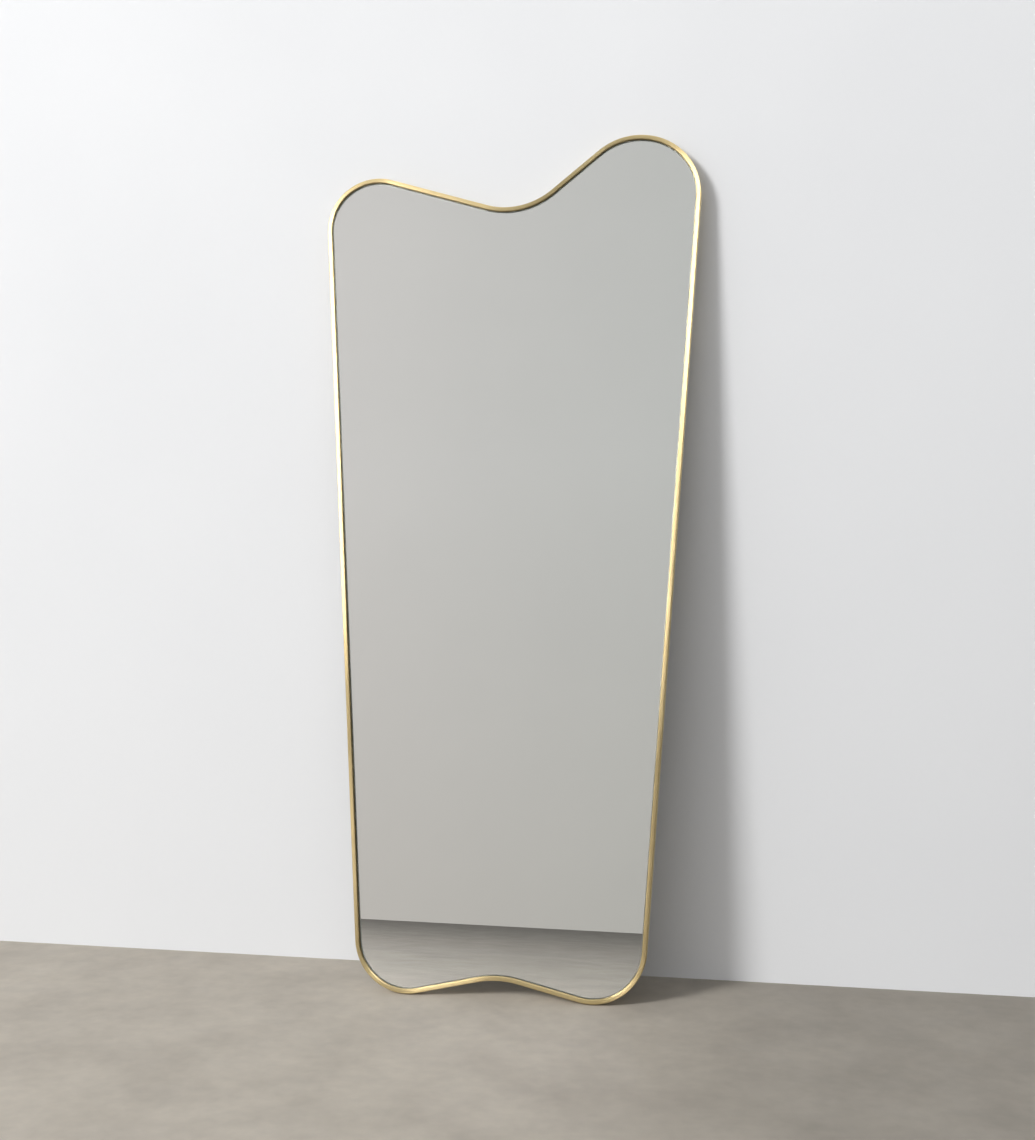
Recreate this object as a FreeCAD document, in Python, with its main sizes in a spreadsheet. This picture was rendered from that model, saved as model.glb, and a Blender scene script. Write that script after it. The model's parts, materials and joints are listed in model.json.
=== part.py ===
import FreeCAD, Part
import math
import os

import Sketcher
from FreeCAD import Placement, Rotation, Vector

# Leaning floor mirror: a closed loop of slim tube with a wavy outline holds a set-back sheet of
# mirror glass on a fibreboard panel. Every piece is drawn upright, x to the right, y to the back
# from the rim's front face and z up from the bottom lobes, and is then leaned back as one.

doc = FreeCAD.newDocument("LeaningMirror")
sheet = doc.addObject("Spreadsheet::Sheet", "Sizes")

sizes = {
    # outline: six circles joined by their common tangents
    "mirror_height": 1930.0,
    "top_left_drop": 70.0,
    "top_left_radius": 117.0,
    "top_left_slope_angle": 17.4,
    "top_dip_offset": 14.0,
    "top_dip_depth": 155.0,
    "top_dip_radius": 162.0,
    "top_right_radius": 143.0,
    "top_right_slope_angle": 39.1,
    "bottom_lobe_offset": 204.0,
    "bottom_lobe_radius": 119.0,
    "bottom_arch_height": 38.0,
    "bottom_arch_radius": 205.0,
    # rim tube
    "face_width": 10.0,
    "tube_wall": 1.5,
    "edge_bevel": 1.5,
    "rear_room": 8.7,
    "vent_bore": 4.0,
    # glass, its backing, tape and panel
    "edge_gap": 1.0,
    "glass_recess": 4.0,
    "glass_thick": 5.0,
    "glass_chamfer": 0.8,
    "backing_thick": 0.3,
    "tape_thick": 1.0,
    "tape_width": 25.0,
    "tape_length": 500.0,
    "tape_column_gap": 165.0,
    "tape_row_gap": 200.0,
    "panel_gap": 1.5,
    "panel_thick": 6.0,
    # tabs between the rim and the panel
    "tab_width": 24.0,
    "tab_reach": 20.0,
    "tab_rise": 6.0,
    "tab_thick": 1.5,
    "tab_bend": 1.5,
    "side_tab_pitch": 560.0,
    # screws of the straps
    "screw_head": 7.0,
    "screw_head_rise": 2.2,
    "screw_shank": 3.4,
    "screw_length": 6.0,
    "screw_clearance": 0.3,
    # strap hangers and their rings
    "hanger_offset": 240.0,
    "hanger_drop": 450.0,
    "ring_wire": 3.5,
    "ring_corner": 4.0,
    "ring_leg": 5.0,
    "ring_clearance": 0.3,
    "strap_thick": 1.5,
    "strap_width": 14.0,
    "strap_side_gap": 1.0,
    "strap_head_room": 10.0,
    "strap_hole_pitch": 20.0,
    "strap_end_margin": 9.0,
    "strap_corner": 5.0,
    # rubber discs on the rear of the rim
    "bumper_width": 6.0,
    "bumper_thick": 2.5,
    # how far the mirror leans, in degrees
    "lean_angle": 6.25,
}
for row, (alias, value) in enumerate(sizes.items(), 1):
    sheet.set("A%d" % row, alias)
    sheet.set("B%d" % row, str(value))
    sheet.setAlias("B%d" % row, alias)
doc.recompute()


def val(alias):
    return float(getattr(sheet, alias))


def total(*aliases):
    return sum(val(alias) for alias in aliases)


def cells(*aliases):
    return " + ".join("Sizes." + alias for alias in aliases)


def difference(plus, minus):
    # some sizes less some others, as a value and as an expression
    taken = "".join(" - Sizes." + alias for alias in minus)
    return total(*plus) - total(*minus), cells(*plus) + taken


# the layers behind the rim's front face, each starting where the one before it ends
GLASS_REAR = ("glass_recess", "glass_thick")
BACKING_REAR = GLASS_REAR + ("backing_thick",)
PANEL_FRONT = BACKING_REAR + ("tape_thick",)
PANEL_REAR = PANEL_FRONT + ("panel_thick",)
RIM_REAR = PANEL_REAR + ("rear_room",)
panel_rear = total(*PANEL_REAR)
rim_depth = total(*RIM_REAR)

# The lean turns the mirror about the front of the rear bevel, which rests on the floor. The origin
# lies on the floor, midway between the two contacts.
lean = math.radians(val("lean_angle"))
heel = rim_depth - val("edge_bevel")
heel_spot = Vector(0, -heel * math.cos(lean), heel * math.sin(lean))
leaning = Placement(heel_spot, Rotation(Vector(1, 0, 0), -val("lean_angle")))


def place(piece, position=Vector(), rotation=Rotation()):
    piece.Placement = leaning.multiply(Placement(position, rotation))


def body_named(name):
    body = doc.addObject("PartDesign::Body", name)
    body.Label = name
    return body


def origin_of(body, role):
    return next(f for f in body.Origin.OriginFeatures if f.Role == role)


def sketch_on(body, name, role):
    sketch = body.newObject("Sketcher::SketchObject", name)
    sketch.AttachmentSupport = (origin_of(body, role), [""])
    sketch.MapMode = "FlatFace"
    return sketch


def front_sketch(body, name, setback=None):
    # the plane faces the front, so a setback to the rear is a negative offset
    sketch = sketch_on(body, name, "XZ_Plane")
    if setback:
        sketch.setExpression("AttachmentOffset.Base.z", "-(%s)" % setback)
    return sketch


def tie(sketch, kind, *places):
    return sketch.addConstraint(Sketcher.Constraint(kind, *places))


def datum(sketch, kind, places, value, expression=None):
    index = sketch.addConstraint(Sketcher.Constraint(kind, *places, value))
    if expression:
        sketch.setExpression("Constraints[%d]" % index, expression)


def line(sketch, start, end):
    return sketch.addGeometry(Part.LineSegment(Vector(*start), Vector(*end)))


def circle(sketch, x, y, radius):
    return sketch.addGeometry(Part.Circle(Vector(x, y), Vector(0, 0, 1), radius))


def arc(sketch, x, y, radius, start, end):
    whole = Part.Circle(Vector(x, y), Vector(0, 0, 1), radius)
    return sketch.addGeometry(Part.ArcOfCircle(whole, start, end))


def square_loop(sketch, corners):
    # straight edges that run across and up in turn
    for i, (start, end) in enumerate(zip(corners, corners[1:] + corners[:1])):
        line(sketch, start, end)
        tie(sketch, "Vertical" if i % 2 else "Horizontal", i)
    for i in range(len(corners)):
        tie(sketch, "Coincident", i, 2, (i + 1) % len(corners), 1)


def pad(body, sketch, name, length, **options):
    feature = body.newObject("PartDesign::Pad", name)
    feature.Profile = sketch
    feature.setExpression("Length", length)
    for option, value in options.items():
        setattr(feature, option, value)
    doc.recompute()
    return feature


def pocket(body, sketch, name, length, **options):
    before = body.Shape.Volume
    feature = body.newObject("PartDesign::Pocket", name)
    feature.Profile = sketch
    feature.setExpression("Length", length)
    for option, value in options.items():
        setattr(feature, option, value)
    doc.recompute()
    if not feature.Shape.Volume < before - 1e-6:
        raise RuntimeError(name + " removes nothing")
    return feature


def dress(body, base, name, kind, size, wanted):
    # a fillet or chamfer along every edge of the base whose box is wanted
    edges = ["Edge%d" % n for n, edge in enumerate(base.Shape.Edges, 1) if wanted(edge.BoundBox)]
    if not edges:
        raise RuntimeError(name + " finds no edge")
    feature = body.newObject("PartDesign::" + kind, name)
    feature.Base = (base, edges)
    feature.setExpression("Radius" if kind == "Fillet" else "Size", size)
    doc.recompute()
    return feature


def same(a, b):
    return abs(a - b) < 1e-4


def at_depth(box, depth):
    return same(box.YMin, depth) and same(box.YMax, depth)


def flat(point):
    return Vector(point.x, point.z, 0)


# The outline runs clockwise, seen from the front: three circles along the top, three along the
# bottom. A lobe turns round a centre on its inside, the dip and the arch round one outside.
class Turn:
    def __init__(self, radius, lobe, across, across_cells, up, up_cells):
        self.radius = radius
        self.lobe = lobe
        self.centre = Vector(across, 0, up)
        self.across_cells = across_cells
        self.up_cells = up_cells

    def signed(self, inset):
        return val(self.radius) - inset if self.lobe else -val(self.radius) - inset


def lobe_reach(radius, climb, slope):
    # how far across from the dip's centre a top lobe's centre lies, given the slope between them
    bends = total(radius, "top_dip_radius")
    tilt = math.radians(val(slope))
    return (bends - (bends - climb) * math.cos(tilt)) / math.sin(tilt)


dip_across = -val("top_dip_offset")
left_climb = val("top_dip_depth") - val("top_left_drop")
left_across = dip_across - lobe_reach("top_left_radius", left_climb, "top_left_slope_angle")
right_across = dip_across + lobe_reach("top_right_radius", val("top_dip_depth"), "top_right_slope_angle")
lobe_across = val("bottom_lobe_offset")
turns = [
    Turn("top_left_radius", True, left_across, None,
         *difference(["mirror_height"], ["top_left_drop", "top_left_radius"])),
    Turn("top_dip_radius", False, dip_across, cells("top_dip_offset"),
         *difference(["mirror_height", "top_dip_radius"], ["top_dip_depth"])),
    Turn("top_right_radius", True, right_across, None,
         *difference(["mirror_height"], ["top_right_radius"])),
    Turn("bottom_lobe_radius", True, lobe_across, cells("bottom_lobe_offset"),
         *difference(["bottom_lobe_radius"], [])),
    Turn("bottom_arch_radius", False, 0, None,
         *difference(["bottom_arch_height"], ["bottom_arch_radius"])),
    Turn("bottom_lobe_radius", True, -lobe_across, cells("bottom_lobe_offset"),
         *difference(["bottom_lobe_radius"], [])),
]
TOP_LEFT, TOP_DIP, TOP_RIGHT, BOTTOM_RIGHT, BOTTOM_ARCH, BOTTOM_LEFT = range(6)
LONG_SIDES = (TOP_RIGHT, BOTTOM_LEFT)


def run_after(i, inset):
    # the straight run that leaves a turn: its start, its end and the normal to its inside
    first = turns[i]
    second = turns[(i + 1) % 6]
    span = second.centre - first.centre
    slope = math.atan2(span.z, span.x)
    slope += math.asin((second.signed(inset) - first.signed(inset)) / span.Length)
    inward = Vector(math.sin(slope), 0, -math.cos(slope))
    start = first.centre - inward * first.signed(inset)
    end = second.centre - inward * second.signed(inset)
    return start, end, inward


def add_outline(sketch, inset=0.0, inset_cells=None):
    # one closed loop of arcs and tangent lines, parallel to the outline
    runs = [run_after(i, inset) for i in range(6)]
    arcs = []
    lines = []
    for i, turn in enumerate(turns):
        # arcs are stored anticlockwise, so a lobe's first end meets the run that leaves it
        ends = [runs[i - 1][1], runs[i][0]]
        if turn.lobe:
            ends.reverse()
        first, last = (math.atan2(end.z - turn.centre.z, end.x - turn.centre.x) for end in ends)
        if last < first:
            last += 2 * math.pi
        arcs.append(arc(sketch, turn.centre.x, turn.centre.z, abs(turn.signed(inset)), first, last))
        lines.append(line(sketch, flat(runs[i][0]), flat(runs[i][1])))
    for i, turn in enumerate(turns):
        first, last = (2, 1) if turn.lobe else (1, 2)
        tie(sketch, "Tangent", lines[i - 1], 2, arcs[i], first)
        tie(sketch, "Tangent", arcs[i], last, lines[i], 1)
    for i, turn in enumerate(turns):
        radius = cells(turn.radius)
        if inset_cells:
            radius += (" - (%s)" if turn.lobe else " + (%s)") % inset_cells
        datum(sketch, "Radius", (arcs[i],), abs(turn.signed(inset)), radius)
        from_origin = (-1, 1, arcs[i], 3)
        to_origin = (arcs[i], 3, -1, 1)
        if turn.across_cells:
            ends = from_origin if turn.centre.x > 0 else to_origin
            datum(sketch, "DistanceX", ends, abs(turn.centre.x), turn.across_cells)
        if turn.centre.z > 0:
            datum(sketch, "DistanceY", from_origin, turn.centre.z, turn.up_cells)
        else:
            datum(sketch, "DistanceY", to_origin, -turn.centre.z, "-(%s)" % turn.up_cells)
    tie(sketch, "PointOnObject", arcs[BOTTOM_ARCH], 3, -2)
    fall = math.radians(val("top_left_slope_angle"))
    climb = math.radians(val("top_right_slope_angle"))
    datum(sketch, "Angle", (lines[TOP_LEFT],), -fall, "-" + cells("top_left_slope_angle"))
    datum(sketch, "Angle", (lines[TOP_DIP],), climb, cells("top_right_slope_angle"))


# rim: a ring of the full section with broken edges, hollowed from within, and two small vents in
# its rear wall that drain the tube after plating
rim = body_named("frame_rim")
face = front_sketch(rim, "rim_face")
add_outline(face)
add_outline(face, val("face_width"), cells("face_width"))
ring = pad(rim, face, "rim_ring", cells(*RIM_REAR), Reversed=True)
dress(rim, ring, "rim_edges", "Chamfer", cells("edge_bevel"),
      lambda box: at_depth(box, 0) or at_depth(box, rim_depth))
bore = front_sketch(rim, "rim_bore", cells("tube_wall"))
add_outline(bore, val("tube_wall"), cells("tube_wall"))
add_outline(bore, val("face_width") - val("tube_wall"), cells("face_width") + " - Sizes.tube_wall")
pocket(rim, bore, "rim_hollow", cells(*RIM_REAR) + " - 2 * Sizes.tube_wall")
vents = front_sketch(rim, "vent_circles", cells(*RIM_REAR) + " - 2 * Sizes.tube_wall")
half_face = val("face_width") / 2
for i in (BOTTOM_RIGHT, BOTTOM_LEFT):
    spot = Vector(turns[i].centre.x, 0, half_face)
    mouth = circle(vents, spot.x, spot.z, val("vent_bore") / 2)
    datum(vents, "Diameter", (mouth,), val("vent_bore"), cells("vent_bore"))
    ends = (-1, 1, mouth, 3) if spot.x > 0 else (mouth, 3, -1, 1)
    datum(vents, "DistanceX", ends, abs(spot.x), cells("bottom_lobe_offset"))
    datum(vents, "DistanceY", (-1, 1, mouth, 3), half_face, cells("face_width") + " / 2")
pocket(rim, vents, "rim_vents", "3 * Sizes.tube_wall")
place(rim)

# glass, with its arrises ground off on both faces
glass = body_named("mirror_glass")
pane = front_sketch(glass, "glass_outline", cells("glass_recess"))
add_outline(pane, total("face_width", "edge_gap"), cells("face_width", "edge_gap"))
pane_pad = pad(glass, pane, "glass_sheet", cells("glass_thick"), Reversed=True)
dress(glass, pane_pad, "glass_arris", "Chamfer", cells("glass_chamfer"),
      lambda box: at_depth(box, val("glass_recess")) or at_depth(box, total(*GLASS_REAR)))
place(glass)

# silvering, paint and safety film, out to where the ground arris starts
backing = body_named("silver_backing")
coat = front_sketch(backing, "backing_outline", cells(*GLASS_REAR))
add_outline(coat, total("face_width", "edge_gap", "glass_chamfer"),
            cells("face_width", "edge_gap", "glass_chamfer"))
pad(backing, coat, "backing_coat", cells("backing_thick"), Reversed=True)
place(backing)

# foam tape between the coated glass and the panel, three columns in two rows about mid-height
tapes = []
for row in range(2):
    for column in range(3):
        tape = doc.addObject("Part::Box", "tape_strip_%d" % (len(tapes) + 1))
        tape.setExpression("Length", cells("tape_width"))
        tape.setExpression("Width", cells("tape_thick"))
        tape.setExpression("Height", cells("tape_length"))
        across = (column - 1) * total("tape_width", "tape_column_gap")
        up = val("mirror_height") / 2 + (row - 0.5) * total("tape_length", "tape_row_gap")
        corner = Vector(across - val("tape_width") / 2, total(*BACKING_REAR), up - val("tape_length") / 2)
        place(tape, corner)
        tapes.append(tape)

# places along the rim's inner wall that carry a tab: three on each long side and one on each of
# the four slopes beside the dip and the arch
tab_seats = []
for i in range(6):
    start, end, inward = run_after(i, val("face_width"))
    along = (end - start).normalize()
    for step in (-1, 0, 1) if i in LONG_SIDES else (0,):
        seat = (start + end) / 2 + along * (step * val("side_tab_pitch"))
        tab_seats.append((Vector(seat.x, panel_rear, seat.z), inward))

# the axes of the two hanger rings, behind the panel, and the screws of their straps
KNUCKLE_BORE = "Sizes.ring_wire / 2 + Sizes.ring_clearance"
knuckle_bore = val("ring_wire") / 2 + val("ring_clearance")
knuckle_radius = knuckle_bore + val("strap_thick")
ring_half = val("strap_width") / 2 + total("strap_side_gap", "ring_corner")
first_hole = total("ring_corner", "ring_leg", "strap_head_room") + ring_half + val("ring_wire") / 2
hanger_level = val("mirror_height") - val("hanger_drop")
hanger_axes = {}
strap_screws = []
for name, side in (("left", -1), ("right", 1)):
    axis = Vector(side * val("hanger_offset"), panel_rear + knuckle_radius, hanger_level)
    hanger_axes[name] = axis
    for hole in range(2):
        drop = first_hole + hole * val("strap_hole_pitch")
        strap_screws.append(Vector(axis.x, panel_rear, axis.z - drop))

# fibreboard panel, with a blind pilot hole for each screw
panel = body_named("back_panel")
board = front_sketch(panel, "panel_outline", cells(*PANEL_FRONT))
add_outline(board, total("face_width", "panel_gap"), cells("face_width", "panel_gap"))
pad(panel, board, "panel_board", cells("panel_thick"), Reversed=True)
pilots = front_sketch(panel, "pilot_circles", cells(*PANEL_REAR))
for spot in strap_screws:
    pilot = total("screw_shank", "screw_clearance")
    mouth = circle(pilots, spot.x, spot.z, pilot / 2)
    datum(pilots, "Diameter", (mouth,), pilot, cells("screw_shank", "screw_clearance"))
    ends = (-1, 1, mouth, 3) if spot.x > 0 else (mouth, 3, -1, 1)
    datum(pilots, "DistanceX", ends, abs(spot.x), cells("hanger_offset"))
    datum(pilots, "DistanceY", (-1, 1, mouth, 3), spot.z)
pilot_depth = cells("screw_length", "screw_clearance") + " - Sizes.strap_thick"
pocket(panel, pilots, "pilot_holes", pilot_depth, Reversed=True)
place(panel)


def bent_tab(name):
    # a tongue of steel strip, bent over the panel: x along the wall, y to the back, z from the wall
    body = body_named(name)
    angle = sketch_on(body, name + "_angle", "YZ_Plane")
    rise, thick, reach = val("tab_rise"), val("tab_thick"), val("tab_reach")
    square_loop(angle, [(0, 0), (rise, 0), (rise, thick), (thick, thick), (thick, reach), (0, reach)])
    tie(angle, "Coincident", 0, 1, -1, 1)
    datum(angle, "Distance", (0,), rise, cells("tab_rise"))
    datum(angle, "Distance", (1,), thick, cells("tab_thick"))
    datum(angle, "Distance", (4,), thick, cells("tab_thick"))
    datum(angle, "Distance", (5,), reach, cells("tab_reach"))
    strip = pad(body, angle, name + "_strip", cells("tab_width"), Midplane=True)

    def bend_line(depth):
        return lambda box: (box.XLength > thick and at_depth(box, depth)
                            and same(box.ZMin, depth) and same(box.ZMax, depth))

    outer = dress(body, strip, name + "_outer_bend", "Fillet",
                  cells("tab_bend", "tab_thick"), bend_line(0))
    dress(body, outer, name + "_inner_bend", "Fillet", cells("tab_bend"), bend_line(thick))
    return body


tabs = []
for seat, inward in tab_seats:
    tab = bent_tab("panel_tab_%d" % (len(tabs) + 1))
    turned = math.degrees(math.atan2(inward.x, inward.z))
    place(tab, seat, Rotation(Vector(0, 1, 0), turned))
    tabs.append(tab)

# screw of the straps, with the seat of its head at the origin, its head to the back and its shank
# to the front
screw = body_named("strap_screw")
section = sketch_on(screw, "screw_section", "XY_Plane")
head, shank = val("screw_head") / 2, val("screw_shank") / 2
rise, length = val("screw_head_rise"), val("screw_length")
square_loop(section, [(0, -length), (shank, -length), (shank, 0), (head, 0), (head, rise), (0, rise)])
tie(section, "PointOnObject", 0, 1, -2)
tie(section, "PointOnObject", 2, 1, -1)
datum(section, "Distance", (0,), shank, "Sizes.screw_shank / 2")
datum(section, "Distance", (1,), length, cells("screw_length"))
datum(section, "Distance", (3,), rise, cells("screw_head_rise"))
datum(section, "DistanceX", (-1, 1, 3, 1), head, "Sizes.screw_head / 2")
turned = screw.newObject("PartDesign::Revolution", "screw_turned")
turned.Profile = section
turned.ReferenceAxis = (section, ["V_Axis"])
turned.Angle = 360
doc.recompute()

# the four screws of the straps, as one group
hanger_screws = doc.addObject("Part::Feature", "hanger_screws")
hanger_screws.Label = "hanger_screws"
copies = []
for spot in strap_screws:
    copy = screw.Shape.copy()
    copy.Placement = Placement(spot + Vector(0, val("strap_thick"), 0), Rotation())
    copies.append(copy)
hanger_screws.Shape = Part.makeCompound(copies)
place(hanger_screws)


def strap_hanger(name):
    # a strip rolled into an eye round the ring's bar, which lies along x through the origin
    body = body_named(name)
    profile = sketch_on(body, name + "_profile", "YZ_Plane")
    length = first_hole + total("strap_hole_pitch", "strap_end_margin")
    length_cells = ("Sizes.strap_width / 2 + Sizes.ring_wire / 2 + 2 * Sizes.ring_corner + "
                    + cells("strap_side_gap", "ring_leg", "strap_head_room", "strap_hole_pitch",
                            "strap_end_margin"))
    opening = math.acos(-knuckle_bore / knuckle_radius)
    meets = -knuckle_radius * math.sin(opening)
    front = line(profile, (-knuckle_radius, -length), (-knuckle_radius, 0))
    roll = arc(profile, 0, 0, knuckle_radius, -opening, math.pi)
    rear = line(profile, (-knuckle_bore, meets), (-knuckle_bore, -length))
    end = line(profile, (-knuckle_bore, -length), (-knuckle_radius, -length))
    hole = circle(profile, 0, 0, knuckle_bore)
    tie(profile, "Tangent", front, 2, roll, 2)
    tie(profile, "Coincident", roll, 1, rear, 1)
    tie(profile, "Coincident", rear, 2, end, 1)
    tie(profile, "Coincident", end, 2, front, 1)
    tie(profile, "Vertical", front)
    tie(profile, "Vertical", rear)
    tie(profile, "Horizontal", end)
    tie(profile, "Coincident", roll, 3, -1, 1)
    tie(profile, "Coincident", hole, 3, -1, 1)
    datum(profile, "Radius", (roll,), knuckle_radius, KNUCKLE_BORE + " + Sizes.strap_thick")
    datum(profile, "Radius", (hole,), knuckle_bore, KNUCKLE_BORE)
    datum(profile, "Distance", (end,), val("strap_thick"), cells("strap_thick"))
    datum(profile, "DistanceY", (end, 1, -1, 1), length, length_cells)
    strip = pad(body, profile, name + "_strip", cells("strap_width"), Midplane=True)
    half = val("strap_width") / 2
    dress(body, strip, name + "_corners", "Fillet", cells("strap_corner"),
          lambda box: same(box.ZMax, -length) and same(abs(box.XMin), half) and same(box.XMin, box.XMax))
    drilled = front_sketch(body, name + "_circles")
    size = val("screw_shank") + 2 * val("screw_clearance")
    for n in range(2):
        drop = first_hole + n * val("strap_hole_pitch")
        mouth = circle(drilled, 0, -drop, size / 2)
        tie(drilled, "PointOnObject", mouth, 3, -2)
        datum(drilled, "Diameter", (mouth,), size, "Sizes.screw_shank + 2 * Sizes.screw_clearance")
        datum(drilled, "DistanceY", (mouth, 3, -1, 1), drop)
    pocket(body, drilled, name + "_holes", "2 * (%s + Sizes.strap_thick)" % KNUCKLE_BORE, Midplane=True)
    return body


WIRE_SIDES = 12


def hanger_ring(name):
    # wire bent to a D: the bar along x through the origin, the bow hanging below it
    body = body_named(name)
    path = front_sketch(body, name + "_path")
    corner, leg = val("ring_corner"), val("ring_leg")
    half = ring_half
    low = -corner - leg
    bar_right = line(path, (0, 0), (half - corner, 0))
    corner_right = arc(path, half - corner, -corner, corner, 0, math.pi / 2)
    leg_right = line(path, (half, -corner), (half, low))
    bow = arc(path, 0, low, half, math.pi, 2 * math.pi)
    leg_left = line(path, (-half, low), (-half, -corner))
    corner_left = arc(path, corner - half, -corner, corner, math.pi / 2, math.pi)
    bar_left = line(path, (corner - half, 0), (0, 0))
    tie(path, "Coincident", bar_right, 1, -1, 1)
    tie(path, "Coincident", bar_left, 2, -1, 1)
    tie(path, "Horizontal", bar_right)
    tie(path, "Horizontal", bar_left)
    tie(path, "Tangent", bar_right, 2, corner_right, 2)
    tie(path, "Tangent", corner_right, 1, leg_right, 1)
    tie(path, "Tangent", leg_right, 2, bow, 2)
    tie(path, "Tangent", bow, 1, leg_left, 1)
    tie(path, "Tangent", leg_left, 2, corner_left, 2)
    tie(path, "Tangent", corner_left, 1, bar_left, 1)
    tie(path, "Equal", corner_right, corner_left)
    tie(path, "Equal", leg_right, leg_left)
    tie(path, "Vertical", leg_right)
    datum(path, "Radius", (corner_right,), corner, cells("ring_corner"))
    datum(path, "Radius", (bow,), half,
          "Sizes.strap_width / 2 + " + cells("strap_side_gap", "ring_corner"))
    datum(path, "Distance", (leg_right,), leg, cells("ring_leg"))
    wire = sketch_on(body, name + "_wire", "YZ_Plane")
    radius = val("ring_wire") / 2
    spokes = [(n + 0.5) * 2 * math.pi / WIRE_SIDES for n in range(WIRE_SIDES)]
    corners = [(radius * math.cos(spoke), radius * math.sin(spoke)) for spoke in spokes]
    for start, stop in zip(corners, corners[1:] + corners[:1]):
        line(wire, start, stop)
    around = circle(wire, 0, 0, radius)
    wire.setConstruction(around, True)
    tie(wire, "Coincident", around, 3, -1, 1)
    datum(wire, "Diameter", (around,), val("ring_wire"), cells("ring_wire"))
    for n in range(WIRE_SIDES):
        tie(wire, "Coincident", n, 2, (n + 1) % WIRE_SIDES, 1)
        tie(wire, "PointOnObject", n, 1, around)
        if n:
            tie(wire, "Equal", 0, n)
    tie(wire, "Vertical", WIRE_SIDES - 1)
    doc.recompute()
    pipe = body.newObject("PartDesign::AdditivePipe", name + "_bent")
    pipe.Profile = wire
    pipe.Spine = (path, ["Edge%d" % (n + 1) for n in range(7)])
    doc.recompute()
    section_area = WIRE_SIDES / 2 * radius ** 2 * math.sin(2 * math.pi / WIRE_SIDES)
    wanted = section_area * path.Shape.Length
    if abs(pipe.Shape.Volume - wanted) > 0.01 * wanted:
        raise RuntimeError(name + " is not one even wire along its path")
    return body


hangers = []
for name, axis in hanger_axes.items():
    strap = strap_hanger("hanger_strap_" + name)
    place(strap, axis)
    loose = hanger_ring("d_ring_" + name)
    # the ring hangs straight down from the leaning strap's eye
    loose.Placement = Placement(leaning.multVec(axis), Rotation())
    hangers += [strap, loose]

# rubber discs on the rear of the rim: at the crest of both top lobes and low on the outer side
# of both bottom lobes
bumpers = []
slant = math.sqrt(0.5)
bumper_rays = (
    (TOP_LEFT, Vector(0, 0, 1)),
    (TOP_RIGHT, Vector(0, 0, 1)),
    (BOTTOM_RIGHT, Vector(slant, 0, -slant)),
    (BOTTOM_LEFT, Vector(-slant, 0, -slant)),
)
for i, ray in bumper_rays:
    name = "bumper_%d" % (len(bumpers) + 1)
    bumper = body_named(name)
    disc = front_sketch(bumper, name + "_circle")
    edge = circle(disc, 0, 0, val("bumper_width") / 2)
    tie(disc, "Coincident", edge, 3, -1, 1)
    datum(disc, "Diameter", (edge,), val("bumper_width"), cells("bumper_width"))
    pad(bumper, disc, name + "_disc", cells("bumper_thick"), Reversed=True)
    spot = turns[i].centre + ray * turns[i].signed(half_face)
    place(bumper, Vector(spot.x, rim_depth, spot.z))
    bumpers.append(bumper)

doc.recompute()
pieces = [rim, glass, backing, panel, hanger_screws] + tapes + tabs + hangers + bumpers

# nothing is written unless every object has built
for item in doc.Objects:
    if "Invalid" in item.State or "Error" in item.State:
        raise RuntimeError("failed: " + item.Label)
for piece in pieces:
    if piece.Shape.isNull() or not piece.Shape.isValid():
        raise RuntimeError("bad shape: " + piece.Label)

os.makedirs("parts", exist_ok=True)
for piece in pieces:
    piece.Shape.exportStep("parts/%s.step" % piece.Label)
    box = piece.Shape.BoundBox
    print("%-20s %d solid(s) %12.1f mm3  x %8.1f %8.1f  y %7.1f %7.1f  z %7.1f %7.1f" % (
        piece.Label, len(piece.Shape.Solids), piece.Shape.Volume,
        box.XMin, box.XMax, box.YMin, box.YMax, box.ZMin, box.ZMax))
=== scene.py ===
# %% [markdown]
# # A leaning floor mirror in a wavy brass rim
# This lesson dresses a imported CAD model in Blender. The model gives the size, the place and the
# moving bodies of every piece, so nothing here is fitted by eye: each new piece is built in metres
# where the CAD piece already stands. The box of the bare model is kept.

# %% Load the fixed frame
import json
import math

import bmesh
import bpy
from mathutils import Matrix, Vector


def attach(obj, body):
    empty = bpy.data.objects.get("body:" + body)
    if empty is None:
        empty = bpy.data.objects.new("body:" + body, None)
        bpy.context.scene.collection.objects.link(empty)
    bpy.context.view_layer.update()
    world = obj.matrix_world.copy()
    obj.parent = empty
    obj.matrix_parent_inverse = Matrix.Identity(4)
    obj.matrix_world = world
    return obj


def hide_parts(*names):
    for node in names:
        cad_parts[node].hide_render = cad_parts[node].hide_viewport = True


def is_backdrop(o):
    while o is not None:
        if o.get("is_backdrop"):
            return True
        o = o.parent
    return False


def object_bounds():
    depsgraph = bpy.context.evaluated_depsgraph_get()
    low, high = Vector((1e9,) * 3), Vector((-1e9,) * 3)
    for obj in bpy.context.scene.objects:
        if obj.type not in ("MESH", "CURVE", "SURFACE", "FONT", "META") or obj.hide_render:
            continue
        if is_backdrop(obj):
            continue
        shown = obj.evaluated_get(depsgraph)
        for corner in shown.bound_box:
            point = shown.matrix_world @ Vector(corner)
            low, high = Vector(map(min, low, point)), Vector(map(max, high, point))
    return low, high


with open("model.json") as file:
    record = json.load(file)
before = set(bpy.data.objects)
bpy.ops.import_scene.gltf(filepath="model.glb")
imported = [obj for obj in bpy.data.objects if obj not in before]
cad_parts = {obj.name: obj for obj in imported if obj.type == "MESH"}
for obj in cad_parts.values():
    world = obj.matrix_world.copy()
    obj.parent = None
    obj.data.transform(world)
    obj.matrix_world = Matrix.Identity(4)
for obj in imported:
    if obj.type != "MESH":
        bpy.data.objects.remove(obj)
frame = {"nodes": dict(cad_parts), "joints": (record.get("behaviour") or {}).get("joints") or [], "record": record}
cad_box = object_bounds()
nodes = frame["nodes"]
mounts = {mount["name"]: mount for mount in frame["record"]["mounts"]}
print("CAD nodes:", len(nodes), "box:", [round(v, 4) for corner in cad_box for v in corner])

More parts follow.
